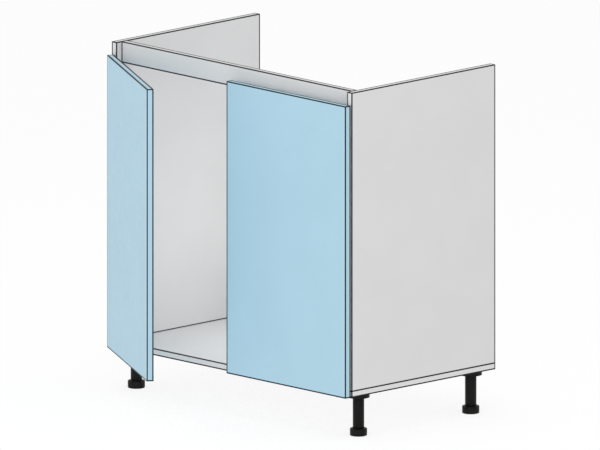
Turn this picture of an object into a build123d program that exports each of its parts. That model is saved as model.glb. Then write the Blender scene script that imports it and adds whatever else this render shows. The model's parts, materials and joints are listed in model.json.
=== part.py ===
from build123d import *
import os

# Sink base cabinet: an open-topped kitchen base unit with two overlay doors on four
# screw-adjustable plastic legs. Millimetres. X runs to the right as the doors are faced,
# Y runs to the back and Z up. The origin is on the floor under the centre of the carcass.

# Carcass
cabinet_width = 800.0
cabinet_depth = 460.0
carcass_height = 720.0
board = 16.0
edge_band = 0.8
band_seam = 0.1  # between two strips of edge band that meet at a corner
front_rail_height = 50.0
front_rail_setback = 16.0
rear_rail_height = 100.0

# Doors
door_board = 16.0
door_side_reveal = 2.0
door_centre_gap = 4.0
door_top_gap = 30.0
door_back_gap = 3.0
left_door_opening = 30.5  # degrees, as the left door stands at rest
bumper_radius = 4.0
bumper_height = 2.5
bumper_round = 1.2
bumper_centre_inset = 12.0
bumper_outer_inset = 11.0
bumper_top_inset = 20.0

# Joinery
screw_fit = 0.05  # radial clearance of fasteners in their drilled holes
drill_overrun = 0.5  # a blind hole goes this much deeper than what it holds
case_screw_head_radius = 5.0
case_screw_head_depth = 3.0
case_screw_shank_radius = 3.5
case_screw_core_radius = 2.5
case_screw_length = 50.0
case_screw_edge_distance = 50.0
hex_key_radius = 2.3
hex_key_depth = 2.2
dowel_radius = 4.0
dowel_length = 30.0
dowel_face_depth = 9.6  # into the face of one board; the rest is in the end of the other
dowel_edge_distance = 110.0
rail_dowel_inset = 10.0
cam_radius = 7.5
cam_depth = 12.2
cam_backset = 24.0
cam_bolt_radius = 3.0
cam_bolt_hole_radius = 3.6
cam_bolt_anchor = 11.0
cam_bolt_anchor_radius = 2.5
cam_bolt_head_radius = 3.4
cam_bolt_head_length = 3.0
cam_bolt_neck_radius = 2.2
cam_bolt_neck_length = 5.5
cam_slot_radius = 3.7
cam_slot_reach = 27.0
cam_cross_length = 8.0
cam_cross_width = 1.6
cam_cross_depth = 1.5

# Concealed single-pivot hinges
hinge_end_distance = 100.0
cup_radius = 17.4
cup_wall = 0.9
cup_floor = 0.6
cup_depth = 12.4
cup_fit = 0.1
cup_edge_distance = 3.1
cup_ear_width = 2.6
cup_ear_radius = 2.4
flange_radius = 18.9
flange_thickness = 1.2
flange_bar_width = 14.0
cup_screw_spacing = 48.0
cup_screw_offset = 6.0
pivot_edge_distance = 6.9
pivot_depth = 9.0
pivot_pin_radius = 1.25
pivot_play = 0.05
eye_radius = 2.2
neck_width = 7.0
neck_thickness = 2.0
neck_height = 6.5
neck_bend_radius = 5.0
neck_ear_play = 0.4
arm_front = 5.0
arm_back = 64.0
arm_width = 15.0
arm_sheet = 1.2
arm_height = 14.2
arm_lift = 3.0
arm_nose = 3.0
arm_slope_back = 18.0
plate_setback = 37.0
plate_screw_spacing = 32.0
plate_wing_length = 46.0
plate_wing_width = 12.0
plate_wing_thickness = 2.0
plate_wing_round = 4.0
plate_ridge_front = 24.0
plate_ridge_back = 62.0
plate_ridge_play = 0.2
small_screw_radius = 2.0
small_screw_head_radius = 3.8
small_screw_head_height = 1.5
small_screw_length = 13.0
small_screw_well = 4.2
drive_slot_width = 1.0
drive_slot_depth = 0.7
arm_screw_front = 30.0
arm_screw_back = 54.0
arm_screw_length = 6.0
arm_screw_play = 0.5

# Legs
leg_height = 100.0
leg_side_inset = 30.0
leg_end_inset = 50.0
socket_radius = 26.0
socket_plate = 4.0
socket_rim_height = 9.5
socket_rim_thickness = 1.8
socket_hub_radius = 15.5
socket_height = 11.0
socket_grip = 8.0
socket_screw_inset = 14.0
socket_ribs = 8
socket_rib_thickness = 1.6
socket_rib_height = 8.5
tube_radius = 13.25
tube_wall = 2.5
tube_fit = 0.05
tube_nut_height = 18.0
foot_radius = 20.0
foot_round = 1.5
foot_height = 17.0
foot_stem_radius = 8.0
foot_stem_length = 48.0
foot_stem_play = 0.3
foot_stem_groove = 0.8
foot_stem_pitch = 4.0

# Places worked out from the sizes above
x_side = cabinet_width / 2
x_inner = x_side - board
y_front = -cabinet_depth / 2
y_back = cabinet_depth / 2
z_base = leg_height
z_inside = z_base + board
z_top = z_base + carcass_height
rail_front_y = y_front + front_rail_setback
rail_middle_y = rail_front_y + board / 2
rear_rail_y = y_back - board
rear_rail_middle_y = y_back - board / 2
door_back_y = y_front - door_back_gap
door_front_y = door_back_y - door_board
door_outer_x = x_side - door_side_reveal
door_inner_x = door_centre_gap / 2
door_low_z = z_base
door_high_z = z_top - door_top_gap
pivot_x = -(door_outer_x - pivot_edge_distance)
pivot_y = door_back_y - pivot_depth
cup_x = -(door_outer_x - cup_edge_distance - cup_radius)
cup_screw_x = cup_x + cup_screw_offset
hinge_heights = {
    "lower": door_low_z + hinge_end_distance,
    "upper": door_high_z - hinge_end_distance,
}
pivot_axis = Axis((pivot_x, pivot_y, 0), (0, 0, 1))

os.makedirs("parts", exist_ok=True)


def save(piece, name):
    """Label a finished piece and write it to its own file."""
    piece.label = name
    export_step(piece, f"parts/{name}.step")


def slab(low, high, mode=Mode.ADD):
    """A rectangular block between two opposite corners."""
    middle = tuple((a + b) / 2 for a, b in zip(low, high))
    with Locations(middle):
        Box(*[b - a for a, b in zip(low, high)], mode=mode)


def rod(start, direction, radius, length, mode=Mode.ADD):
    """A round bar, or with SUBTRACT a drilled hole, from its start along a direction."""
    with Locations(Plane(origin=start, z_dir=direction)):
        Cylinder(radius, length, align=(Align.CENTER, Align.CENTER, Align.MIN), mode=mode)


def drive_slot(start, direction, length, mode=Mode.SUBTRACT):
    """A crosswise driver recess sunk into a screw head that faces against the direction."""
    with Locations(Plane(origin=start, z_dir=direction)):
        for size in ((length, drive_slot_width), (drive_slot_width, length)):
            Box(*size, 2 * drive_slot_depth, mode=mode)


def small_screw(seat, direction):
    """A pan-head wood screw: the head's underside lies on its seat, the shank goes in."""
    outward = tuple(-c for c in direction)
    rod(seat, direction, small_screw_radius, small_screw_length)
    rod(seat, outward, small_screw_head_radius, small_screw_head_height)
    top = tuple(s + small_screw_head_height * o for s, o in zip(seat, outward))
    drive_slot(top, direction, small_screw_head_radius)


# Places of the joinery, shared by the boards and their fasteners
side_middle_x = x_side - board / 2
case_screw_places = [
    (side * side_middle_x, y)
    for side in (-1, 1)
    for y in (y_front + case_screw_edge_distance, 0, y_back - case_screw_edge_distance)
]
base_dowel_places = [
    (side * side_middle_x, y)
    for side in (-1, 1)
    for y in (y_front + dowel_edge_distance, y_back - dowel_edge_distance)
]
rails = {
    "front": (rail_middle_y, z_top - front_rail_height, z_top, 1),
    "rear": (rear_rail_middle_y, z_inside, z_inside + rear_rail_height, -1),
}
rail_ends = [(side, *rail) for side in (-1, 1) for rail in rails.values()]


def cut_base_joints():
    """Drill the screw and dowel holes where the side panels stand on the bottom panel."""
    for x, y in case_screw_places:
        head_hole = case_screw_head_radius + screw_fit
        rod((x, y, z_base), (0, 0, 1), head_hole, case_screw_head_depth, Mode.SUBTRACT)
        shank_hole = case_screw_shank_radius + screw_fit
        rod((x, y, z_base), (0, 0, 1), shank_hole, board, Mode.SUBTRACT)
        core_hole = case_screw_core_radius + screw_fit
        core_depth = case_screw_length + drill_overrun
        rod((x, y, z_base), (0, 0, 1), core_hole, core_depth, Mode.SUBTRACT)
    for x, y in base_dowel_places:
        low = z_inside - dowel_face_depth - drill_overrun
        length = dowel_length + 2 * drill_overrun
        rod((x, y, low), (0, 0, 1), dowel_radius + screw_fit, length, Mode.SUBTRACT)


def cut_rail_joints():
    """Drill the dowel and cam-bolt holes that run from the side panels into the rails."""
    for side, y, low, high, _ in rail_ends:
        inward = (-side, 0, 0)
        for z in (low + rail_dowel_inset, high - rail_dowel_inset):
            start = (side * (x_inner + dowel_face_depth + drill_overrun), y, z)
            length = dowel_length + 2 * drill_overrun
            rod(start, inward, dowel_radius + screw_fit, length, Mode.SUBTRACT)
        middle = (low + high) / 2
        anchor_depth = cam_bolt_anchor + drill_overrun
        anchor = (side * (x_inner + anchor_depth), y, middle)
        anchor_hole = cam_bolt_anchor_radius + screw_fit
        rod(anchor, inward, anchor_hole, anchor_depth, Mode.SUBTRACT)


# Carcass boards. A banded edge is cut back by the band, so that the sizes hold over it.
for side, side_name in ((-1, "left"), (1, "right")):
    with BuildPart() as side_panel:
        slab(
            (min(side * x_inner, side * x_side), y_front + edge_band, z_inside),
            (max(side * x_inner, side * x_side), y_back, z_top - edge_band),
        )
        cut_base_joints()
        cut_rail_joints()
        for z in hinge_heights.values():
            for dz in (-plate_screw_spacing / 2, plate_screw_spacing / 2):
                start = (side * x_inner, y_front + plate_setback, z + dz)
                depth = small_screw_length - plate_wing_thickness + drill_overrun
                hole = small_screw_radius + screw_fit
                rod(start, (side, 0, 0), hole, depth, Mode.SUBTRACT)
    save(side_panel.part, f"side_panel_{side_name}")

leg_places = {
    f"{end_name}_{side_name}": (side * (x_side - leg_side_inset), y)
    for side_name, side in (("left", -1), ("right", 1))
    for end_name, y in (("front", y_front + leg_end_inset), ("rear", y_back - leg_end_inset))
}
socket_screw_offsets = [
    (sx * socket_screw_inset, sy * socket_screw_inset) for sx in (-1, 1) for sy in (-1, 1)
]
socket_screw_places = [
    (x + dx, y + dy) for x, y in leg_places.values() for dx, dy in socket_screw_offsets
]

with BuildPart() as bottom_panel:
    slab(
        (-x_side + edge_band, y_front + edge_band, z_base),
        (x_side - edge_band, y_back, z_inside),
    )
    cut_base_joints()
    for x, y in socket_screw_places:
        depth = small_screw_length - socket_plate + drill_overrun
        hole = small_screw_radius + screw_fit
        rod((x, y, z_base), (0, 0, 1), hole, depth, Mode.SUBTRACT)
save(bottom_panel.part, "bottom_panel")

for rail_name, (middle_y, low, high, cam_face) in rails.items():
    banded_low = low + (edge_band if rail_name == "front" else 0)
    with BuildPart() as rail:
        slab(
            (-x_inner, middle_y - board / 2, banded_low),
            (x_inner, middle_y + board / 2, high - edge_band),
        )
        cut_rail_joints()
        for side in (-1, 1):
            cam_face_y = middle_y + cam_face * board / 2
            cam_place = (side * (x_inner - cam_backset), cam_face_y, (low + high) / 2)
            cam_hole = cam_radius + screw_fit
            cam_hole_depth = cam_depth + drill_overrun
            rod(cam_place, (0, -cam_face, 0), cam_hole, cam_hole_depth, Mode.SUBTRACT)
            bolt_end = (side * x_inner, middle_y, (low + high) / 2)
            rod(bolt_end, (-side, 0, 0), cam_bolt_hole_radius, cam_backset, Mode.SUBTRACT)
    save(rail.part, f"{rail_name}_rail")

with BuildPart() as carcass_edge_bands:
    band_back_y = y_front + edge_band
    behind_seam_y = band_back_y + band_seam
    rail_back_y = rail_front_y + board
    for side in (-1, 1):
        inner, outer = sorted((side * x_inner, side * x_side))
        slab((inner, y_front, z_inside + band_seam), (outer, band_back_y, z_top))
        slab((inner, behind_seam_y, z_top - edge_band), (outer, y_back, z_top))
        skin_inner, skin_outer = sorted((side * (x_side - edge_band), side * x_side))
        slab((skin_inner, behind_seam_y, z_base), (skin_outer, y_back, z_inside))
    slab((-x_side, y_front, z_base), (x_side, band_back_y, z_inside))
    rail_end = x_inner - band_seam
    for low in (z_top - edge_band, z_top - front_rail_height):
        slab((-rail_end, rail_front_y, low), (rail_end, rail_back_y, low + edge_band))
    rear_high = z_inside + rear_rail_height
    slab((-rail_end, rear_rail_y, rear_high - edge_band), (rail_end, y_back, rear_high))
save(carcass_edge_bands.part, "carcass_edge_bands")

# Fasteners of the carcass, each kind in one group
with BuildPart() as case_screws:
    for x, y in case_screw_places:
        head = (x, y, z_base)
        rod(head, (0, 0, 1), case_screw_head_radius, case_screw_head_depth)
        rod(head, (0, 0, 1), case_screw_shank_radius, board)
        rod(head, (0, 0, 1), case_screw_core_radius, case_screw_length)
    with BuildSketch(Plane.XY.offset(z_base)):
        with Locations(*case_screw_places):
            RegularPolygon(hex_key_radius, 6)
    extrude(amount=hex_key_depth, mode=Mode.SUBTRACT)
save(case_screws.part, "case_screws")

with BuildPart() as wooden_dowels:
    for x, y in base_dowel_places:
        rod((x, y, z_inside - dowel_face_depth), (0, 0, 1), dowel_radius, dowel_length)
    for side, y, low, high, _ in rail_ends:
        for z in (low + rail_dowel_inset, high - rail_dowel_inset):
            start = (side * (x_inner + dowel_face_depth), y, z)
            rod(start, (-side, 0, 0), dowel_radius, dowel_length)
save(wooden_dowels.part, "wooden_dowels")

with BuildPart() as cam_bolts:
    for side, y, low, high, _ in rail_ends:
        middle = (low + high) / 2
        inward = (-side, 0, 0)
        anchor = (side * (x_inner + cam_bolt_anchor), y, middle)
        rod(anchor, inward, cam_bolt_anchor_radius, cam_bolt_anchor)
        shank = cam_backset - cam_radius
        rod((side * x_inner, y, middle), inward, cam_bolt_radius, shank)
        neck_start = (side * (x_inner - shank), y, middle)
        rod(neck_start, inward, cam_bolt_neck_radius, cam_bolt_neck_length)
        head_start = (side * (x_inner - shank - cam_bolt_neck_length), y, middle)
        rod(head_start, inward, cam_bolt_head_radius, cam_bolt_head_length)
save(cam_bolts.part, "cam_bolts")

with BuildPart() as cam_locks:
    for side, y, low, high, cam_face in rail_ends:
        middle = (low + high) / 2
        into_rail = (0, -cam_face, 0)
        face = (side * (x_inner - cam_backset), y + cam_face * board / 2, middle)
        rod(face, into_rail, cam_radius, cam_depth)
        with Locations(Plane(origin=face, z_dir=into_rail)):
            Box(cam_cross_length, cam_cross_width, 2 * cam_cross_depth, mode=Mode.SUBTRACT)
            Box(cam_cross_width, cam_cross_length, 2 * cam_cross_depth, mode=Mode.SUBTRACT)
        bolt_end = (side * x_inner, y, middle)
        rod(bolt_end, (-side, 0, 0), cam_slot_radius, cam_slot_reach, Mode.SUBTRACT)
save(cam_locks.part, "cam_locks")


# Doors. Both are built shut, and the left one is then swung to where it rests.
def make_door(side):
    """The door board, drilled for its hinge cups and their screws."""
    inner, outer = sorted((side * door_inner_x, side * door_outer_x))
    with BuildPart() as door:
        slab(
            (inner + edge_band, door_front_y, door_low_z + edge_band),
            (outer - edge_band, door_back_y, door_high_z - edge_band),
        )
        for z in hinge_heights.values():
            cup_place = (side * -cup_x, door_back_y, z)
            rod(cup_place, (0, -1, 0), cup_radius + cup_fit, cup_depth + cup_fit, Mode.SUBTRACT)
            for dz in (-cup_screw_spacing / 2, cup_screw_spacing / 2):
                start = (side * -cup_screw_x, door_back_y, z + dz)
                depth = small_screw_length - flange_thickness + drill_overrun
                hole = small_screw_radius + screw_fit
                rod(start, (0, -1, 0), hole, depth, Mode.SUBTRACT)
    return door.part


def make_door_bands(side):
    """The four strips glued round the edges of a door."""
    inner, outer = sorted((side * door_inner_x, side * door_outer_x))
    strip = edge_band + band_seam
    with BuildPart() as bands:
        for x in (inner, outer - edge_band):
            low, high = (x, door_front_y, door_low_z), (x + edge_band, door_back_y, door_high_z)
            slab(low, high)
        for z in (door_low_z, door_high_z - edge_band):
            low, high = (inner + strip, door_front_y, z), (outer - strip, door_back_y, z + edge_band)
            slab(low, high)
    return bands.part


def make_door_bumpers(side):
    """Soft stops on the door's back that meet the front edges of the carcass."""
    with BuildPart() as bumpers:
        for x, z in (
            (door_inner_x + bumper_centre_inset, z_base + board / 2),
            (x_side - bumper_outer_inset, door_high_z - bumper_top_inset),
        ):
            rod((side * x, door_back_y, z), (0, 1, 0), bumper_radius, bumper_height)
        fillet(bumpers.edges().filter_by(GeomType.CIRCLE).group_by(Axis.Y)[-1], bumper_round)
    return bumpers.part


# Hinges. Each function makes a piece of the left side's hinge at a height, with its door shut.
def make_hinge_cup(z):
    """The pan sunk into the door, its flange, and the two ears that hold the pivot pin."""
    outside = Plane(origin=(cup_x, door_back_y, z), z_dir=(0, -1, 0))
    inner_radius = cup_radius - cup_wall
    pan_low = door_back_y - cup_depth
    ear_gap = neck_width / 2 + neck_ear_play
    with BuildPart() as cup:
        for low in (z - ear_gap - cup_ear_width, z + ear_gap):
            rod((pivot_x, pivot_y, low), (0, 0, 1), cup_ear_radius, cup_ear_width)
            slab(
                (pivot_x - cup_ear_radius, pan_low, low),
                (pivot_x + cup_ear_radius, pivot_y, low + cup_ear_width),
            )
        with Locations(outside):
            from_top = (Align.CENTER, Align.CENTER, Align.MIN)
            Cylinder(cup_radius, cup_depth, align=from_top, mode=Mode.INTERSECT)
        with BuildSketch(Plane.XY.offset(z)):
            with Locations((cup_x + inner_radius, pan_low)):
                Rectangle(cup_wall, cup_depth, align=(Align.MIN, Align.MIN))
            with Locations((cup_x, pan_low)):
                Rectangle(cup_radius, cup_floor, align=(Align.MIN, Align.MIN))
        revolve(axis=Axis((cup_x, 0, z), (0, 1, 0)))
        with BuildSketch(Plane.XZ.offset(-door_back_y)):
            with Locations((cup_x, z)):
                Circle(flange_radius)
            with Locations((cup_screw_x, z)):
                SlotCenterToCenter(cup_screw_spacing, flange_bar_width, rotation=90)
            with Locations((cup_x, z)):
                Circle(inner_radius, mode=Mode.SUBTRACT)
        extrude(amount=-flange_thickness)
        pin_half = ear_gap + cup_ear_width
        pin_low = (pivot_x, pivot_y, z - pin_half)
        rod(pin_low, (0, 0, 1), pivot_pin_radius, 2 * pin_half, Mode.SUBTRACT)
        for dz in (-cup_screw_spacing / 2, cup_screw_spacing / 2):
            start = (cup_screw_x, door_back_y + flange_thickness, z + dz)
            hole = small_screw_radius + screw_fit
            rod(start, (0, -1, 0), hole, flange_thickness, Mode.SUBTRACT)
    return cup.part


def make_hinge_pin(z):
    """The pivot pin, fast in the cup's ears and turning in the arm's eye."""
    pin_half = neck_width / 2 + neck_ear_play + cup_ear_width
    with BuildPart() as pin:
        rod((pivot_x, pivot_y, z - pin_half), (0, 0, 1), pivot_pin_radius, 2 * pin_half)
    return pin.part


def make_hinge_arm(z):
    """The cranked arm: an eye in the cup, a neck round the side panel's edge, a channel."""
    arm_top_x = -x_inner + arm_height
    neck_x = -x_inner + neck_height
    with BuildPart() as arm:
        with BuildSketch(Plane.XY.offset(z - neck_width / 2)):
            with BuildLine():
                neck = FilletPolyline(
                    (pivot_x, pivot_y),
                    (neck_x, pivot_y),
                    (neck_x, y_front + arm_front + arm_nose),
                    radius=neck_bend_radius,
                )
            trace(neck, line_width=neck_thickness)
            with Locations((pivot_x, pivot_y)):
                Circle(eye_radius)
        extrude(amount=neck_width)
        eye_hole = pivot_pin_radius + pivot_play
        rod((pivot_x, pivot_y, z - neck_width / 2), (0, 0, 1), eye_hole, neck_width, Mode.SUBTRACT)
        with BuildSketch(Plane.XY.offset(z - arm_width / 2)):
            with BuildLine():
                Polyline(
                    (neck_x - neck_thickness / 2, y_front + arm_front),
                    (arm_top_x - arm_nose, y_front + arm_front),
                    (arm_top_x, y_front + arm_front + arm_nose),
                    (arm_top_x, y_front + arm_back),
                    (-x_inner + arm_lift, y_front + arm_back),
                    (-x_inner + arm_lift, y_front + arm_slope_back),
                    close=True,
                )
            make_face()
        extrude(amount=arm_width)
        slab(
            (-x_inner, y_front + arm_front + arm_nose, z - arm_width / 2 + arm_sheet),
            (arm_top_x - arm_sheet, y_front + arm_back, z + arm_width / 2 - arm_sheet),
            Mode.SUBTRACT,
        )
        for y in (y_front + arm_screw_front, y_front + arm_screw_back):
            hole = small_screw_radius + screw_fit
            rod((arm_top_x, y, z), (-1, 0, 0), hole, arm_sheet, Mode.SUBTRACT)
    return arm.part


def make_hinge_plate(z):
    """The mounting plate: two screwed wings and the ridge that the arm clips over."""
    ridge_width = arm_width - 2 * arm_sheet - 2 * plate_ridge_play
    with BuildPart() as plate:
        with BuildSketch(Plane.YZ.offset(-x_inner)):
            with Locations((y_front + plate_setback, z)):
                RectangleRounded(plate_wing_width, plate_wing_length, plate_wing_round)
        extrude(amount=plate_wing_thickness)
        slab(
            (-x_inner, y_front + plate_ridge_front, z - ridge_width / 2),
            (
                -x_inner + arm_height - arm_sheet,
                y_front + plate_ridge_back,
                z + ridge_width / 2,
            ),
        )
        for dz in (-plate_screw_spacing / 2, plate_screw_spacing / 2):
            start = (-x_inner + plate_wing_thickness, y_front + plate_setback, z + dz)
            hole = small_screw_radius + screw_fit
            rod(start, (-1, 0, 0), hole, plate_wing_thickness, Mode.SUBTRACT)
        for y in (y_front + arm_screw_front, y_front + arm_screw_back):
            start = (-x_inner + arm_height - arm_sheet, y, z)
            hole = small_screw_radius + screw_fit
            rod(start, (-1, 0, 0), hole, arm_screw_length, Mode.SUBTRACT)
    return plate.part


def to_side(piece, side):
    """Mirror a piece of the left side to the right where it is wanted there."""
    with BuildPart() as placed:
        if side < 0:
            add(piece)
        else:
            mirror(piece, about=Plane.YZ)
    return placed.part


def hang(piece, side):
    """Swing a piece of the left door to its opening at rest; the right door stays shut."""
    return piece.rotate(pivot_axis, -left_door_opening) if side < 0 else piece


for side, side_name in ((-1, "left"), (1, "right")):
    save(hang(make_door(side), side), f"{side_name}_door")
    save(hang(make_door_bands(side), side), f"{side_name}_door_edge_bands")
    save(hang(make_door_bumpers(side), side), f"{side_name}_door_bumpers")
    for level, z in hinge_heights.items():
        cup = hang(to_side(make_hinge_cup(z), side), side)
        save(cup, f"{side_name}_{level}_hinge_cup")
        pin = hang(to_side(make_hinge_pin(z), side), side)
        save(pin, f"{side_name}_{level}_hinge_pin")
        save(to_side(make_hinge_arm(z), side), f"{side_name}_{level}_hinge_arm")
        save(to_side(make_hinge_plate(z), side), f"{side_name}_{level}_hinge_plate")
    with BuildPart() as cup_screws:
        for z in hinge_heights.values():
            for dz in (-cup_screw_spacing / 2, cup_screw_spacing / 2):
                seat = (side * -cup_screw_x, door_back_y + flange_thickness, z + dz)
                small_screw(seat, (0, -1, 0))
    save(hang(cup_screws.part, side), f"{side_name}_cup_screws")

with BuildPart() as hinge_plate_screws:
    for side in (-1, 1):
        for z in hinge_heights.values():
            for dz in (-plate_screw_spacing / 2, plate_screw_spacing / 2):
                seat_x = side * (x_inner - plate_wing_thickness)
                small_screw((seat_x, y_front + plate_setback, z + dz), (side, 0, 0))
save(hinge_plate_screws.part, "hinge_plate_screws")

with BuildPart() as hinge_arm_screws:
    for side in (-1, 1):
        for z in hinge_heights.values():
            for y in (y_front + arm_screw_front, y_front + arm_screw_back):
                top = (side * (x_inner - arm_height), y, z)
                length = arm_sheet + arm_screw_length - arm_screw_play
                rod(top, (side, 0, 0), small_screw_radius, length)
                rod(top, (-side, 0, 0), small_screw_head_radius, small_screw_head_height)
                head_x = side * (x_inner - arm_height - small_screw_head_height)
                drive_slot((head_x, y, z), (side, 0, 0), small_screw_head_radius)
save(hinge_arm_screws.part, "hinge_arm_screws")


# Legs
def make_leg_socket(x, y):
    """The socket under the bottom panel: a screwed plate with a rim, a hub and ribs."""
    with BuildPart() as socket:
        rod((x, y, z_base), (0, 0, -1), socket_radius, socket_rim_height)
        recess = socket_rim_height - socket_plate
        recess_start = (x, y, z_base - socket_rim_height)
        recess_radius = socket_radius - socket_rim_thickness
        rod(recess_start, (0, 0, 1), recess_radius, recess, Mode.SUBTRACT)
        rod((x, y, z_base), (0, 0, -1), socket_hub_radius, socket_height)
        with BuildSketch(Plane.XY.offset(z_base - socket_rib_height)):
            with Locations((x, y)):
                with PolarLocations(0, socket_ribs // 2, start_angle=180 / socket_ribs):
                    Rectangle(2 * recess_radius + socket_rim_thickness, socket_rib_thickness)
        extrude(amount=socket_rib_height)
        grip_low = (x, y, z_base - socket_height)
        rod(grip_low, (0, 0, 1), tube_radius + tube_fit, socket_grip, Mode.SUBTRACT)
        for dx, dy in socket_screw_offsets:
            seat = (x + dx, y + dy, z_base - socket_plate)
            rod(seat, (0, 0, 1), small_screw_radius + screw_fit, socket_plate, Mode.SUBTRACT)
            rod(seat, (0, 0, -1), small_screw_well, socket_height, Mode.SUBTRACT)
    return socket.part


def make_leg_tube(x, y):
    """The leg's tube, thick at its lower end where the foot's stem screws in."""
    low = foot_height
    high = z_base - socket_height + socket_grip
    with BuildPart() as tube:
        rod((x, y, low), (0, 0, 1), tube_radius, high - low)
        bore = foot_stem_radius + foot_stem_play
        rod((x, y, low), (0, 0, 1), bore, high - low, Mode.SUBTRACT)
        above_nut = (x, y, low + tube_nut_height)
        length = high - low - tube_nut_height
        rod(above_nut, (0, 0, 1), tube_radius - tube_wall, length, Mode.SUBTRACT)
    return tube.part


def make_leg_foot(x, y):
    """The foot: a round base with a grooved stem that goes up into the tube."""
    top = foot_height + foot_stem_length
    groove_radius = foot_stem_radius - foot_stem_groove
    grooves = int(foot_stem_length / foot_stem_pitch) - 1
    with BuildPart() as foot:
        rod((x, y, 0), (0, 0, 1), foot_radius, foot_height)
        fillet(foot.edges().filter_by(GeomType.CIRCLE), foot_round)
        rod((x, y, 0), (0, 0, 1), foot_stem_radius, top)
        with BuildSketch(Plane.XZ.offset(-y)):
            for step in range(1, grooves + 1):
                height = foot_height + step * foot_stem_pitch
                with Locations((x + groove_radius + foot_stem_groove, height)):
                    Rectangle(2 * foot_stem_groove, foot_stem_pitch / 2)
        revolve(axis=Axis((x, y, 0), (0, 0, 1)), mode=Mode.SUBTRACT)
    return foot.part


for place, (x, y) in leg_places.items():
    save(make_leg_socket(x, y), f"{place}_leg_socket")
    save(make_leg_tube(x, y), f"{place}_leg_tube")
    save(make_leg_foot(x, y), f"{place}_leg_foot")

with BuildPart() as leg_screws:
    for x, y in socket_screw_places:
        small_screw((x, y, z_base - socket_plate), (0, 0, 1))
save(leg_screws.part, "leg_screws")
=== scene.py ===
import json
import math

import bmesh
import bpy
from mathutils import Matrix, Vector


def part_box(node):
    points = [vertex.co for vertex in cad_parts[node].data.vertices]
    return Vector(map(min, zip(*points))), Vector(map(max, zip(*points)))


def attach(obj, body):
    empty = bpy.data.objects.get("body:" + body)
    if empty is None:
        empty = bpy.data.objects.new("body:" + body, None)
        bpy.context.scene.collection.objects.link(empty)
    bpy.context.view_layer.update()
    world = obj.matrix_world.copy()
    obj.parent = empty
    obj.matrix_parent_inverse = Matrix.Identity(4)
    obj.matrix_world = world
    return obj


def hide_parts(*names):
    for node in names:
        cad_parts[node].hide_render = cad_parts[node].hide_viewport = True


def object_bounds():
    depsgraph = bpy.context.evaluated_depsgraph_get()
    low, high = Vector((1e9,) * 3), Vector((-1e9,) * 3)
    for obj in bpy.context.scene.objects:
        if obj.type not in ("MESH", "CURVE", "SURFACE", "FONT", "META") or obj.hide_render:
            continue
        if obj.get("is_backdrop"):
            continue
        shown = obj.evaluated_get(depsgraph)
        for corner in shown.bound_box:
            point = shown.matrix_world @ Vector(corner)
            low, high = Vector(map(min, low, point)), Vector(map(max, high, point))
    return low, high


# Looks of the sink base cabinet. Metres, in the CAD frame: X right, Y to the back, Z up.
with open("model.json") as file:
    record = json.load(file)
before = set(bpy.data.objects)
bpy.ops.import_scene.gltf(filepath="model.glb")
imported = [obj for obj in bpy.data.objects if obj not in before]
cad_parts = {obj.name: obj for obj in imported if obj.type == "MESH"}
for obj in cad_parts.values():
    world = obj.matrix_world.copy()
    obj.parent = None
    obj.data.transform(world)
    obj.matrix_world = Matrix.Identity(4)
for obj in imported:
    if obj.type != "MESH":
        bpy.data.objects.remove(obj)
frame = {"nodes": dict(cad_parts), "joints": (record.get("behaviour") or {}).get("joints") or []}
cad_low, cad_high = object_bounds()
nodes = frame["nodes"]
joints = {joint["name"]: joint for joint in frame["joints"]}

MM = 0.001
WHITE = (1.0, 1.0, 1.0)
SIDES = (("left", -1), ("right", 1))
LEVELS = ("lower", "upper")
RAILS = ("front_rail", "rear_rail")
LEG_PLACES = [f"{end}_{side}" for end in ("front", "rear") for side, _ in SIDES]

BAND = 0.8 * MM  # thickness of the edge bands

# The dark lines along the boards' arrises
LINE = 2.3 * MM  # width
# Painted shade: the lines are heavier on the sides that look away from the light.
SHADE_SIDE_LINE = 3.2 * MM  # width beside the faces that look left, back or down
LEVEL_LINE = 3.4 * MM  # width on level faces, where LINE would be too thin
LINE_BLUR = 0.15 * MM  # half the width over which a line fades out
FACE_DEPTH = 0.02 * MM  # a point this near to the outermost face lies on it
OUTSIDE = 0.2 * MM  # further than this outside a box, its lines aren't drawn

# The left door stands open at rest. This turns what is placed for it when shut.
left_pivot = Vector(joints["left_door_swing"]["pos_m"])
left_opening = math.radians(-joints["left_door_swing"]["range_deg"][0])
swing_left = (
    Matrix.Translation(left_pivot)
    @ Matrix.Rotation(-left_opening, 4, "Z")
    @ Matrix.Translation(-left_pivot)
)


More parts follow.
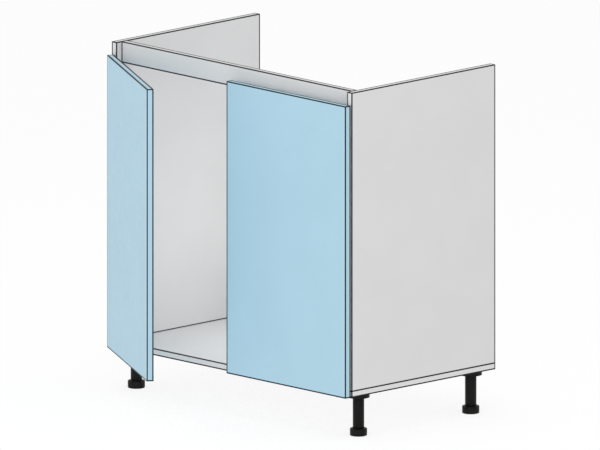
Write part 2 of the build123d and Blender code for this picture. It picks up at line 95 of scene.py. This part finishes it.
# ---------------------------------------------------------------- materials
class Finish:
    """A material whose nodes are added and joined by short calls."""

    def __init__(self, name, roughness=0.5, metallic=0.0, **sockets):
        self.material = bpy.data.materials.new(name)
        self.material.use_nodes = True
        self.tree = self.material.node_tree
        self.shader = self.tree.nodes["Principled BSDF"]
        self.shader.inputs["Roughness"].default_value = roughness
        self.shader.inputs["Metallic"].default_value = metallic
        for socket, value in sockets.items():
            self.shader.inputs[socket.replace("_", " ")].default_value = value
        self.point = self.tree.nodes.new("ShaderNodeTexCoord").outputs["Object"]

    def node(self, kind, inputs, output=0, **settings):
        """One output of a new node, whose inputs are sockets or plain values."""
        made = self.tree.nodes.new("ShaderNode" + kind)
        for name, value in settings.items():
            setattr(made, name, value)
        for key, value in inputs.items():
            if isinstance(value, bpy.types.NodeSocket):
                self.tree.links.new(value, made.inputs[key])
            else:
                made.inputs[key].default_value = value
        return made.outputs[output]

    def math(self, operation, *values):
        return self.node("Math", dict(enumerate(values)), operation=operation)

    def vector(self, operation, *values):
        return self.node("VectorMath", dict(enumerate(values)), operation=operation)

    def split(self, vector):
        """The X, Y and Z sockets of a vector."""
        parts = self.tree.nodes.new("ShaderNodeSeparateXYZ")
        self.tree.links.new(vector, parts.inputs[0])
        return parts.outputs

    def mix(self, factor, first, second):
        """A colour between two, each a socket or an (r, g, b)."""
        first, second = (c if hasattr(c, "node") else (*c, 1.0) for c in (first, second))
        inputs = {0: factor, 6: first, 7: second}
        return self.node("Mix", inputs, output=2, data_type="RGBA")

    def noise(self, scale, detail=2.0, stretch=(1, 1, 1)):
        point = self.vector("MULTIPLY", self.point, stretch)
        inputs = {"Vector": point, "Scale": scale, "Detail": detail, "Roughness": 0.55}
        return self.node("TexNoise", inputs, output="Fac")

    def range(self, value, low=0.3, high=0.7, to_low=0.0, to_high=1.0):
        """A value eased from one span to another; 0.3 to 0.7 holds most of a noise."""
        inputs = {0: value, 1: low, 2: high, 3: to_low, 4: to_high}
        return self.node("MapRange", inputs, interpolation_type="SMOOTHSTEP")

    def bump(self, height, distance, strength=1.0):
        inputs = {"Height": height, "Distance": distance, "Strength": strength}
        normal = self.node("Bump", inputs, output="Normal")
        self.tree.links.new(normal, self.shader.inputs["Normal"])

    def set(self, socket, value):
        self.tree.links.new(value, self.shader.inputs[socket])


def arris_lines(finish, point, boxes):
    """1 near the arrises of the given boxes, which are (centre, half size), and 0 elsewhere.

    A point on a box's face is near an arris where it is near a second face too. The lines are
    heavier beside the faces that look left, back or down, as painted shade on the sides away
    from the light.
    They are also wider on the level faces, which the photograph sees at a low angle.
    """
    # The depth below a face is scaled by 1, or by shrink where the line is made heavy as painted
    # shade.
    shrink = LINE / SHADE_SIDE_LINE
    even, change = (1 + shrink) / 2, (shrink - 1) / 2
    found = None
    for centre, half in boxes:
        offset = finish.vector("SUBTRACT", point, centre)
        depth = finish.vector("SUBTRACT", half, finish.vector("ABSOLUTE", offset))
        shaded = finish.vector("MULTIPLY", finish.vector("SIGN", offset), (-1, 1, -1))
        scale = finish.vector("MULTIPLY_ADD", shaded, (change,) * 3, (even,) * 3)
        x, y, z = finish.split(finish.vector("MULTIPLY", depth, scale))
        least = finish.math("MINIMUM", finish.math("MINIMUM", x, y), z)
        most = finish.math("MAXIMUM", finish.math("MAXIMUM", x, y), z)
        total = finish.math("ADD", finish.math("ADD", x, y), z)
        second = finish.math("SUBTRACT", finish.math("SUBTRACT", total, least), most)
        level = finish.math("LESS_THAN", finish.math("SUBTRACT", z, least), FACE_DEPTH)
        narrowed = finish.math("MULTIPLY", level, LINE / LEVEL_LINE - 1)
        second = finish.math("MULTIPLY", second, finish.math("ADD", narrowed, 1.0))
        near = finish.range(second, LINE - LINE_BLUR, LINE + LINE_BLUR, 1.0, 0.0)
        inside = finish.math("GREATER_THAN", least, -OUTSIDE)
        line = finish.math("MULTIPLY", near, inside)
        found = line if found is None else finish.math("MAXIMUM", found, line)
    return found


def chipboard_back(finish, colour, rough, height):
    """A board's colour, roughness and height, with bare chipboard on the cabinet's back."""
    chips = finish.vector("MULTIPLY", finish.point, (1.0, 1.0, 0.45))
    inputs = {"Vector": chips, "Scale": 520.0, "Randomness": 1.0}
    cell = finish.node("TexVoronoi", inputs, output="Color")
    inputs = {0: cell, 1: (0.4, 0.4, 0.2)}
    tone = finish.node("VectorMath", inputs, output="Value", operation="DOT_PRODUCT")
    shade = finish.range(tone, 0.15, 0.8)
    wood = finish.mix(shade, (0.20, 0.125, 0.068), (0.55, 0.40, 0.25))
    fibres = finish.range(finish.noise(900, detail=4.0))
    wood = finish.mix(finish.math("MULTIPLY", fibres, 0.35), wood, (0.42, 0.29, 0.17))
    _, y, _ = finish.split(finish.point)
    raw = finish.math("GREATER_THAN", y, cad_high.y - 0.05 * MM)
    colour = finish.mix(raw, colour, wood)
    rough = finish.math("MAXIMUM", rough, finish.math("MULTIPLY", raw, 0.85))
    rise = finish.math("MULTIPLY", finish.math("MULTIPLY", raw, shade), 6.0)
    return colour, rough, finish.math("ADD", height, rise)


def melamine(
    name, boxes, base, line, raw_back=False, turned=False, grain=1300, gloss=0.42, sheen=0.25
):
    """A melamine-faced board or its edge band, with fine texture and dark trimmed arrises.

    The arris trims are heavier on the sides away from the light, as painted shade. Where
    turned is set, the boxes are those of the left door when shut.
    """
    finish = Finish(name, roughness=gloss, Specular_IOR_Level=sheen)
    height = finish.noise(grain, detail=3.0)
    cloud = finish.range(finish.noise(7, detail=3.0))
    colour = finish.mix(cloud, [c * 0.985 for c in base], [c * 1.012 for c in base])
    speck = finish.range(height, 0.35, 0.75)
    colour = finish.mix(finish.math("MULTIPLY", speck, 0.05), colour, WHITE)
    rough = finish.range(finish.noise(60, detail=4.0), 0.2, 0.8, gloss - 0.06, gloss + 0.08)
    if raw_back:
        colour, rough, height = chipboard_back(finish, colour, rough, height)
    point = finish.point
    if turned:
        inputs = {"Vector": point, "Center": left_pivot, "Axis": (0, 0, 1), "Angle": left_opening}
        point = finish.node("VectorRotate", inputs, rotation_type="AXIS_ANGLE")
    # The dark arris trims, heavier on the sides away from the light as painted shade
    finish.set("Base Color", finish.mix(arris_lines(finish, point, boxes), colour, line))
    finish.set("Roughness", rough)
    finish.bump(height, 0.03 * MM, 0.6)
    return finish.material


def moulded(name, base, light, gloss=0.45):
    """Moulded plastic: a fine spark-eroded texture and slightly paler, smoother patches."""
    finish = Finish(name, roughness=gloss, Specular_IOR_Level=0.12)
    fine = finish.noise(2600, detail=3.0)
    flow = finish.noise(28, detail=4.0, stretch=(1, 1, 0.25))
    colour = finish.mix(finish.range(flow, 0.35, 0.7), base, light)
    scuff = finish.range(finish.noise(240, detail=6.0, stretch=(1, 1, 3)), 0.62, 0.75)
    colour = finish.mix(finish.math("MULTIPLY", scuff, 0.25), colour, (0.03, 0.03, 0.028))
    finish.set("Base Color", colour)
    finish.set("Roughness", finish.range(flow, 0.2, 0.8, gloss - 0.07, gloss + 0.1))
    finish.bump(fine, 0.02 * MM, 0.5)
    return finish.material


def plated(name, base, dark, gloss=0.28, brush=(1, 1, 0.04)):
    """Plated steel or alloy: drawn along one direction, with faint clouding."""
    finish = Finish(name, roughness=gloss, metallic=1.0)
    drawn = finish.noise(2400, detail=3.0, stretch=brush)
    cloud = finish.noise(130, detail=4.0)
    finish.set("Base Color", finish.mix(finish.range(cloud), dark, base))
    rough = finish.math("ADD", finish.range(drawn, 0.2, 0.8, -0.07, 0.08), gloss)
    finish.set("Roughness", rough)
    finish.bump(drawn, 0.004 * MM, 0.6)
    return finish.material


def beech(name):
    """Turned beech: fine grain along the dowels with short dark flecks."""
    finish = Finish(name, roughness=0.62)
    grain = finish.noise(900, detail=5.0, stretch=(0.35, 1, 0.35))
    fleck = finish.range(finish.noise(1500, detail=2.0, stretch=(0.3, 1, 0.3)), 0.62, 0.7)
    colour = finish.mix(finish.range(grain), (0.50, 0.33, 0.18), (0.68, 0.50, 0.31))
    colour = finish.mix(finish.math("MULTIPLY", fleck, 0.5), colour, (0.30, 0.17, 0.08))
    finish.set("Base Color", colour)
    finish.bump(grain, 0.03 * MM, 0.5)
    return finish.material


def clear_pad(name):
    """Clear soft polyurethane with a faintly frosted surface."""
    finish = Finish(name, roughness=0.16, Transmission_Weight=0.85, IOR=1.46)
    haze = finish.noise(700, detail=3.0)
    colour = finish.mix(finish.range(haze), (0.86, 0.9, 0.9), (0.96, 0.98, 0.98))
    finish.set("Base Color", colour)
    finish.set("Roughness", finish.range(haze, 0.2, 0.8, 0.1, 0.25))
    return finish.material


def centred(low, high):
    """(centre, half size) of a box given by its two corners."""
    return (low + high) / 2, (high - low) / 2


def banded(board, below, above):
    """(centre, half size) of a board's box, grown by so many edge bands along X, Y and Z."""
    low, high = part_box(board)
    return centred(low - BAND * Vector(below), high + BAND * Vector(above))


GREY = (0.656, 0.656, 0.656)
GREY_EDGE = (0.676, 0.676, 0.676)
BLUE = (0.380, 0.580, 0.697)
BLUE_EDGE = (0.392, 0.590, 0.705)
GREY_LINE = (0.004, 0.004, 0.004)
BLUE_LINE = (0.003, 0.010, 0.016)

# The sides' boxes reach most of a line's width into the bottom panel, so that their joint
# has one line outside. Inside, the box of a strip along each side's foot draws it.
JOINT_REACH = 2.9  # edge bands
STRIP_HALF_WIDTH = 1.5 * MM
STRIP_HALF_HEIGHT = 1.1 * MM

board_boxes = {
    "side_panel_left": banded("side_panel_left", (0, 1, JOINT_REACH), (0, 0, 1)),
    "side_panel_right": banded("side_panel_right", (0, 1, JOINT_REACH), (0, 0, 1)),
    "bottom_panel": banded("bottom_panel", (1, 1, 0), (1, 0, 0)),
    "front_rail": banded("front_rail", (0, 0, 1), (0, 0, 1)),
    "rear_rail": banded("rear_rail", (0, 0, 0), (0, 0, 1)),
}
line_boxes = {board: [box] for board, box in board_boxes.items()}
for side, sign in SIDES:
    low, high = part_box(f"side_panel_{side}")
    inner_x = (low if sign > 0 else high).x
    middle = (inner_x + sign * STRIP_HALF_WIDTH, (low.y + high.y) / 2, low.z + STRIP_HALF_HEIGHT)
    half = (STRIP_HALF_WIDTH, (high.y - low.y) / 2, STRIP_HALF_HEIGHT)
    line_boxes[f"side_panel_{side}"].append((Vector(middle), Vector(half)))
right_door_box = centred(*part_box("right_door_edge_bands"))
left_door_box = (right_door_box[0] * Vector((-1, 1, 1)), right_door_box[1])

finishes = {
    "band": melamine("edge_band", board_boxes.values(), GREY_EDGE, GREY_LINE, grain=2200),
    "leg": moulded("leg_plastic", (0.0045, 0.0045, 0.0040), (0.0075, 0.0075, 0.0068)),
    "nickel": plated("hinge_nickel", (0.70, 0.68, 0.64), (0.56, 0.55, 0.52)),
    "pin": plated("pin_steel", (0.72, 0.72, 0.72), (0.6, 0.6, 0.6), gloss=0.16),
    "zinc": plated("screw_zinc", (0.68, 0.70, 0.74), (0.50, 0.52, 0.54), brush=(1, 1, 1)),
    "cam": plated(
        "cam_alloy", (0.50, 0.50, 0.51), (0.36, 0.36, 0.37), gloss=0.46, brush=(1, 1, 1)
    ),
    "beech": beech("beech"),
    "pad": clear_pad("clear_pad"),
}
for board, boxes in line_boxes.items():
    name = f"{board}_melamine"
    finishes[board] = melamine(name, boxes, GREY, GREY_LINE, raw_back=board not in RAILS)
for side, box in (("left", left_door_box), ("right", right_door_box)):
    turned = side == "left"
    for part, base in (("face", BLUE), ("edge", BLUE_EDGE)):
        name = f"{side}_door_{part}"
        finishes[name] = melamine(
            name, [box], base, BLUE_LINE, turned=turned, grain=800, gloss=0.38, sheen=0.13
        )


# ---------------------------------------------------------------- CAD nodes
def dress(name, finish, arris=0.0):
    """Give a CAD node its material and, with modifiers only, softly rounded arrises.

    Flat faces are made one face each first, so that long thin triangles aren't rounded too.
    """
    node = nodes[name]
    node.data.materials.clear()
    node.data.materials.append(finishes[finish])
    if arris:
        weld = node.modifiers.new("weld", "WELD")
        weld.merge_threshold = 0.005 * MM
        flat = node.modifiers.new("flat", "DECIMATE")
        flat.decimate_type = "DISSOLVE"
        flat.angle_limit = math.radians(0.5)
        bevel = node.modifiers.new("bevel", "BEVEL")
        bevel.width = arris
        bevel.segments = 2
        bevel.limit_method = "ANGLE"
        bevel.angle_limit = math.radians(35)
        bevel.use_clamp_overlap = False


for board in board_boxes:
    dress(board, board, arris=0 if board in RAILS else 0.15 * MM)
dress("carcass_edge_bands", "band", arris=0.2 * MM)
dress("cam_locks", "cam")
for side, _ in SIDES:
    dress(f"{side}_door", f"{side}_door_face", arris=0.15 * MM)
    dress(f"{side}_door_edge_bands", f"{side}_door_edge", arris=0.2 * MM)
    dress(f"{side}_door_bumpers", "pad", arris=0.1 * MM)
    for level in LEVELS:
        dress(f"{side}_{level}_hinge_cup", "nickel")
        dress(f"{side}_{level}_hinge_arm", "nickel", arris=0.15 * MM)
        dress(f"{side}_{level}_hinge_plate", "nickel", arris=0.2 * MM)
        dress(f"{side}_{level}_hinge_pin", "pin")
for place in LEG_PLACES:
    dress(f"{place}_leg_socket", "leg")
    dress(f"{place}_leg_tube", "leg", arris=0.25 * MM)


# ---------------------------------------------------------------- turned and wound shapes
# Numbers in this section are mm, and each shape is made about Z.
SLIVER = 0.0005 * MM  # edges shorter than this are left from a cut


def meshed(bm):
    """Finish a bmesh as a mesh whose faces look outward and are smooth up to its creases."""
    bmesh.ops.recalc_face_normals(bm, faces=bm.faces)
    mesh = bpy.data.meshes.new("made")
    bm.to_mesh(mesh)
    bm.free()
    mesh.shade_smooth()
    mesh.set_sharp_from_angle(angle=math.radians(38))
    return mesh


def linked(name, data):
    """An object in the scene that shows a mesh, lamp or camera."""
    made = bpy.data.objects.new(name, data)
    bpy.context.scene.collection.objects.link(made)
    return made


def joined(meshes):
    """One mesh that holds several."""
    bm = bmesh.new()
    for mesh in meshes:
        bm.from_mesh(mesh)
    result = bpy.data.meshes.new("joined")
    bm.to_mesh(result)
    bm.free()
    return result


def around(radius, angle):
    return radius * math.cos(angle), radius * math.sin(angle)


def ring(bm, radius, height, steps):
    """The points of one turn about Z; a single point on the axis where the radius is 0."""
    if radius == 0:
        return [bm.verts.new((0, 0, height * MM))]
    angles = [2 * math.pi * step / steps for step in range(steps)]
    return [bm.verts.new(Vector((*around(radius, t), height)) * MM) for t in angles]


def skin(bm, rings):
    """Join each ring of points to the next with faces."""
    for first, second in zip(rings, rings[1:]):
        count = max(len(first), len(second))
        for i in range(count):
            j = (i + 1) % count
            corners = (first[i % len(first)], first[j % len(first)])
            corners += (second[j % len(second)], second[i % len(second)])
            bm.faces.new(list(dict.fromkeys(corners)))


def turn(bm, profile, steps=28):
    """A closed turned form from (radius, height), that starts and ends at radius 0."""
    skin(bm, [ring(bm, radius, height, steps) for radius, height in profile])


def wind(bm, root, crest, pitch, low, high, widths, steps=20):
    """A screw thread: a helical ridge on a core, that runs out over its end turns.

    The widths are the ridge's at its root and at its crest.
    """
    root_width, crest_width = widths
    buried = root - 0.1
    count = round((high - low) / pitch * steps)
    sections = []
    for step in range(count + 1):
        angle = 2 * math.pi * step / steps
        middle = low + pitch * step / steps
        fade = min(1.0, step / steps, (count - step) / steps)
        tip = root + (crest - root) * fade
        section = []
        for radius, height in (
            (buried, middle - root_width / 2),
            (tip, middle - crest_width / 2),
            (tip, middle + crest_width / 2),
            (buried, middle + root_width / 2),
        ):
            section.append(bm.verts.new(Vector((*around(radius, angle), height)) * MM))
        sections.append(section)
    skin(bm, sections)
    bm.faces.new(sections[0][::-1])
    bm.faces.new(sections[-1])


def prism(outline_low, outline_high, low, high):
    """A closed block between two outlines of (x, y) at two heights."""
    bm = bmesh.new()
    rings = [
        [bm.verts.new((x * MM, y * MM, z * MM)) for x, y in outline]
        for outline, z in ((outline_low, low), (outline_high, high))
    ]
    skin(bm, rings)
    bm.faces.new(rings[0][::-1])
    bm.faces.new(rings[1])
    return meshed(bm)


def carved(mesh, cutter):
    """The mesh with the cutter taken away from it, and no slivers left where they met."""
    body, tool = linked("body", mesh), linked("tool", cutter)
    cut = body.modifiers.new("cut", "BOOLEAN")
    cut.operation = "DIFFERENCE"
    cut.solver = "EXACT"
    cut.object = tool
    bpy.context.view_layer.update()
    solved = body.evaluated_get(bpy.context.evaluated_depsgraph_get())
    cut_mesh = bpy.data.meshes.new_from_object(solved)
    for used in (body, tool):
        bpy.data.objects.remove(used)
    bm = bmesh.new()
    bm.from_mesh(cut_mesh)
    bmesh.ops.remove_doubles(bm, verts=bm.verts, dist=SLIVER)
    bmesh.ops.dissolve_degenerate(bm, dist=SLIVER, edges=bm.edges)
    return meshed(bm)


def cross_recess(reach, width, depth, top):
    """A tapered cross-shaped recess for a driver, to cut down into a head from its top."""
    outlines = []
    for scale in (0.35, 1.0):
        r, w = reach * scale, width / 2 * (0.7 + 0.3 * scale)
        quarter = [(w, -w), (r, -w), (r, w)]
        turns = ((1, 0), (0, 1), (-1, 0), (0, -1))
        outlines.append([(x * c - y * s, x * s + y * c) for c, s in turns for x, y in quarter])
    return prism(*outlines, low=top - depth, high=top + 0.3)


def pan_screw(length):
    """A pan-head wood screw: its head sits on z = 0 and its point is at -length."""
    head = bmesh.new()
    turn(head, [
        (0, -0.6), (1.9, -0.6), (1.9, 0), (3.6, 0), (3.78, 0.14), (3.8, 0.4), (3.66, 0.78),
        (3.3, 1.08), (2.6, 1.3), (1.6, 1.44), (0.8, 1.49), (0, 1.5),
    ], steps=40)
    core = bmesh.new()
    turn(core, [
        (0, -length), (0.35, -length + 0.7), (0.9, -length + 1.9), (1.3, -length + 3),
        (1.38, -2.2), (1.75, -1.4), (1.85, -0.4), (0, -0.4),
    ], steps=20)
    wind(core, 1.36, 2.0, pitch=1.35, low=-length + 2.6, high=-1.6, widths=(0.75, 0.12))
    recess = cross_recess(reach=2.3, width=1.0, depth=1.7, top=1.5)
    return joined([carved(meshed(head), recess), meshed(core)])


def machine_screw(length):
    """A pan-head machine screw with a fine thread and a flat end."""
    head = bmesh.new()
    turn(head, [
        (0, -0.6), (1.6, -0.6), (1.6, 0), (3.65, 0), (3.8, 0.15), (3.8, 0.7), (3.6, 1.1),
        (3.1, 1.35), (2.0, 1.48), (0, 1.5),
    ], steps=40)
    core = bmesh.new()
    turn(core, [
        (0, -length), (1.3, -length), (1.68, -length + 0.4), (1.68, -0.3), (0, -0.3),
    ], steps=20)
    wind(core, 1.66, 2.0, pitch=0.7, low=-length + 0.7, high=-0.5, widths=(0.5, 0.1))
    recess = cross_recess(reach=2.4, width=1.05, depth=1.6, top=1.5)
    return joined([carved(meshed(head), recess), meshed(core)])


def case_screw():
    """A one-piece carcass screw with a hexagon socket, its head flush at z = 0."""
    head = bmesh.new()
    turn(head, [
        (0, -3.4), (3.45, -3.4), (3.5, -3.0), (4.7, -0.7), (4.95, -0.35), (5.0, -0.12), (4.85, 0),
        (0, 0),
    ], steps=40)
    # Turned a little, so that its corners don't fall on the head's own edges
    corners = [around(2.3, 0.06 + k * math.pi / 3) for k in range(6)]
    socket = prism(corners, corners, low=-2.2, high=0.5)
    core = bmesh.new()
    turn(core, [
        (0, -50), (1.0, -49.4), (1.75, -47), (2.05, -44), (2.1, -17), (3.4, -15.6), (3.45, -3.2),
        (0, -3.2),
    ])
    wind(core, 2.05, 2.5, pitch=3.0, low=-46, high=-17.5, widths=(1.5, 0.2))
    return joined([carved(meshed(head), socket), meshed(core)])


def cam_bolt():
    """A cam bolt from the rail's end at z = 0: thread into the side below, head above."""
    bm = bmesh.new()
    turn(bm, [
        (0, -11), (0.9, -10.6), (1.6, -9.5), (1.9, -8.5), (1.9, -0.6), (2.9, -0.2), (3.0, 0.2),
        (3.0, 16.2), (2.7, 16.5), (2.2, 16.7), (2.2, 21.6), (2.6, 22.0), (3.3, 22.4),
        (3.4, 23.2), (3.3, 24.2), (2.7, 24.8), (1.6, 25.0), (0, 25.0),
    ])
    wind(bm, 1.88, 2.5, pitch=2.2, low=-9.2, high=-0.8, widths=(1.2, 0.2))
    return meshed(bm)


def dowel(radius=4.0, length=30.0, chamfer=1.0, flutes=18, flute_depth=0.28, steps=72):
    """A fluted beech dowel with chamfered ends, that starts at z = 0."""
    bm = bmesh.new()
    rings = [ring(bm, 0, 0, steps)]
    ends = ((0, chamfer), (chamfer, 0), (length - chamfer, 0), (length, chamfer))
    for height, inset in ends:
        points = []
        for step in range(steps):
            angle = 2 * math.pi * step / steps
            groove = flute_depth * (0.5 + 0.5 * math.cos(flutes * angle)) ** 2
            point = (*around(radius - inset - groove, angle), height)
            points.append(bm.verts.new(Vector(point) * MM))
        rings.append(points)
    rings.append(ring(bm, 0, length, steps))
    skin(bm, rings)
    return meshed(bm)


def screw_foot():
    """A leg's foot: a rounded base, hollowed below, on a stem with a coarse round thread."""
    bm = bmesh.new()
    turn(bm, [
        (0, 1.4), (15.0, 1.4), (15.5, 1.2), (15.8, 0.3), (16.1, 0), (18.4, 0), (19.2, 0.25),
        (19.75, 0.8), (20, 1.6), (20, 4.0), (19.8, 4.25), (19.8, 4.75), (20, 5.0), (20, 15.4),
        (19.75, 16.2), (19.2, 16.75), (18.4, 17), (8.2, 17), (7.4, 17.3), (7.2, 17.8),
        (7.2, 63.6), (6.9, 64.5), (6.1, 65), (0, 65),
    ], steps=72)
    wind(bm, 7.2, 8.0, pitch=4.0, low=18.6, high=63.0, widths=(2.8, 1.1), steps=36)
    return meshed(bm)


# ---------------------------------------------------------------- detailed pieces in place
# Distances between fasteners are the CAD's own. Planes come from the boxes of its nodes.
LEG_SCREW_REACH = 14 * MM  # from a leg's axis, along X and along Y
SOCKET_PLATE = 4 * MM
CUP_SCREW_X = 371.5 * MM
CUP_SCREW_REACH = 24 * MM  # above and below the hinge's middle
CUP_FLANGE = 1.2 * MM
PLATE_SETBACK = 37 * MM
PLATE_SCREW_REACH = 16 * MM
PLATE_WING = 2 * MM
ARM_HEIGHT = 14.2 * MM
ARM_SCREWS = (30 * MM, 54 * MM)  # behind the carcass's front
HINGE_END_DISTANCE = 100 * MM
CASE_SCREW_REACH = 180 * MM  # before and behind the middle of the depth
BASE_DOWEL_REACH = 120 * MM
DOWEL_FACE_DEPTH = 9.6 * MM
RAIL_DOWEL_INSET = 10 * MM

z_base, z_inside = (corner.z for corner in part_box("bottom_panel"))
y_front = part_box("carcass_edge_bands")[0].y
door_back_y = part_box("right_door")[1].y
side_inner_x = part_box("side_panel_right")[0].x
side_middle_x = board_boxes["side_panel_right"][0].x
door_low, door_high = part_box("right_door_edge_bands")
hinge_heights = (door_low.z + HINGE_END_DISTANCE, door_high.z - HINGE_END_DISTANCE)


def both_ways(reach):
    return -reach, reach


def aimed(point, outward):
    """The matrix that takes a shape made about Z to a point, with its Z looking outward."""
    return Matrix.Translation(point) @ Vector(outward).to_track_quat("Z", "Y").to_matrix().to_4x4()


def stand_for(node, mesh, places, body, finish):
    """Put copies of a mesh at places, as one piece that replaces a CAD node."""
    copies = []
    for place in places:
        copy = mesh.copy()
        copy.transform(place)
        copies.append(copy)
    piece = linked(f"{node}_detailed", joined(copies))
    piece.data.materials.clear()
    piece.data.materials.append(finishes[finish])
    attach(piece, body)
    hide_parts(node)


wood_screw = pan_screw(13)
leg_screw_places = []
for place in LEG_PLACES:
    middle, _ = centred(*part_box(f"{place}_leg_socket"))
    for dx in both_ways(LEG_SCREW_REACH):
        for dy in both_ways(LEG_SCREW_REACH):
            seat = (middle.x + dx, middle.y + dy, z_base - SOCKET_PLATE)
            leg_screw_places.append(aimed(seat, (0, 0, -1)))
    middle, _ = centred(*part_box(f"{place}_leg_foot"))
    stand_for(
        f"{place}_leg_foot", screw_foot(), [Matrix.Translation((middle.x, middle.y, 0))],
        f"{place}_foot", "leg",
    )
stand_for("leg_screws", wood_screw, leg_screw_places, "carcass", "zinc")

plate_places, arm_places = [], []
for side, sign in SIDES:
    cup_places = []
    inward = (-sign, 0, 0)
    for z in hinge_heights:
        for dz in both_ways(CUP_SCREW_REACH):
            seat = (sign * CUP_SCREW_X, door_back_y + CUP_FLANGE, z + dz)
            cup_places.append(aimed(seat, (0, 1, 0)))
        for dz in both_ways(PLATE_SCREW_REACH):
            seat = (sign * (side_inner_x - PLATE_WING), y_front + PLATE_SETBACK, z + dz)
            plate_places.append(aimed(seat, inward))
        for dy in ARM_SCREWS:
            seat = (sign * (side_inner_x - ARM_HEIGHT), y_front + dy, z)
            arm_places.append(aimed(seat, inward))
    if side == "left":
        cup_places = [swing_left @ place for place in cup_places]
    stand_for(f"{side}_cup_screws", wood_screw, cup_places, f"{side}_door", "zinc")
stand_for("hinge_plate_screws", wood_screw, plate_places, "carcass", "zinc")
stand_for("hinge_arm_screws", machine_screw(6.7), arm_places, "carcass", "zinc")

case_places = [
    aimed((sign * side_middle_x, y, z_base), (0, 0, -1))
    for _, sign in SIDES
    for y in (-CASE_SCREW_REACH, 0, CASE_SCREW_REACH)
]
stand_for("case_screws", case_screw(), case_places, "carcass", "zinc")

dowel_places = [
    aimed((sign * side_middle_x, y, z_inside - DOWEL_FACE_DEPTH), (0, 0, 1))
    for _, sign in SIDES
    for y in both_ways(BASE_DOWEL_REACH)
]
bolt_places = []
for rail in RAILS:
    centre, half = board_boxes[rail]
    for _, sign in SIDES:
        inward = (-sign, 0, 0)
        bolt_places.append(aimed((sign * side_inner_x, centre.y, centre.z), inward))
        for dz in both_ways(half.z - RAIL_DOWEL_INSET):
            start = (sign * (side_inner_x + DOWEL_FACE_DEPTH), centre.y, centre.z + dz)
            dowel_places.append(aimed(start, inward))
stand_for("wooden_dowels", dowel(), dowel_places, "carcass", "beech")
stand_for("cam_bolts", cam_bolt(), bolt_places, "carcass", "zinc")


# ---------------------------------------------------------------- floor, light, camera
def floor():
    """A plain pale floor, a little luminous so that the shadow under the cabinet is faint.

    It is partly clear too, so that a foot let down below it still shows.
    """
    finish = Finish(
        "pale_floor", roughness=0.9, Specular_IOR_Level=0.1,
        Emission_Color=(*WHITE, 1.0), Emission_Strength=0.82, Alpha=0.35,
    )
    fine = finish.range(finish.noise(900, detail=2.0))
    finish.set("Base Color", finish.mix(fine, (0.53, 0.53, 0.53), (0.54, 0.54, 0.54)))
    mesh = bpy.data.meshes.new("floor")
    bm = bmesh.new()
    bmesh.ops.create_grid(bm, x_segments=1, y_segments=1, size=40)
    bm.to_mesh(mesh)
    bm.free()
    made = linked("floor", mesh)
    made.data.materials.append(finish.material)
    made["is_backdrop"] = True


def direction(azimuth, elevation):
    """The direction from the cabinet to where it is seen or lit from; azimuth 0 is its front."""
    return Vector((
        math.sin(azimuth) * math.cos(elevation),
        -math.cos(azimuth) * math.cos(elevation),
        math.sin(elevation),
    ))


def softbox(name, azimuth, elevation, distance, size, power, aim=(0, 0, 0.45)):
    """A square area light that looks at the cabinet. Its angles are in degrees."""
    out = direction(math.radians(azimuth), math.radians(elevation))
    data = bpy.data.lights.new(name, "AREA")
    data.shape = "SQUARE"
    data.size = size
    data.energy = power
    lamp = linked(name, data)
    lamp.location = Vector(aim) + out * distance
    lamp.rotation_euler = out.to_track_quat("Z", "Y").to_euler()


def inside_fill():
    """A small lamp in the middle of the cabinet, itself unseen, that lifts its inner faces."""
    data = bpy.data.lights.new("inside_fill", "POINT")
    data.energy = 2.15
    data.color = (1.0, 0.96, 0.92)
    data.shadow_soft_size = 0.2
    lamp = linked("inside_fill", data)
    lamp.location = (0.0, 0.02, 0.35)
    lamp.visible_camera = False
    lamp.visible_glossy = False


floor()
softbox("key", azimuth=46, elevation=14, distance=4.0, size=2.2, power=20)
softbox("front_fill", azimuth=0, elevation=18, distance=4.0, size=3.0, power=18)
softbox("top_fill", azimuth=30, elevation=80, distance=3.5, size=2.4, power=23)
inside_fill()

world = bpy.data.worlds.new("studio")
world.use_nodes = True
background = world.node_tree.nodes["Background"]
background.inputs["Color"].default_value = (*WHITE, 1.0)
background.inputs["Strength"].default_value = 0.81
bpy.context.scene.world = world
bpy.context.scene.view_settings.view_transform = "Standard"

# The photograph is a parallel projection from the right of the front and a little above.
VIEW_AZIMUTH = math.radians(46.09)
VIEW_ELEVATION = math.radians(11.96)
VIEW_WIDTH = 1.3865
VIEW_DISTANCE = 3.0
CORNER_RIGHT, CORNER_UP = 0.11995, 0.30503  # the corner's place, from the picture's centre
right = Vector((math.cos(VIEW_AZIMUTH), math.sin(VIEW_AZIMUTH), 0))
back = direction(VIEW_AZIMUTH, VIEW_ELEVATION)
up = back.cross(right)
corner = Vector((cad_high.x, y_front, cad_high.z))  # top right front corner of the carcass
camera = linked("camera", bpy.data.cameras.new("camera"))
camera.data.type = "ORTHO"
camera.data.ortho_scale = VIEW_WIDTH
camera.location = corner - CORNER_RIGHT * right - CORNER_UP * up + VIEW_DISTANCE * back
camera.rotation_euler = back.to_track_quat("Z", "Y").to_euler()
bpy.context.scene.camera = camera

low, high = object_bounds()
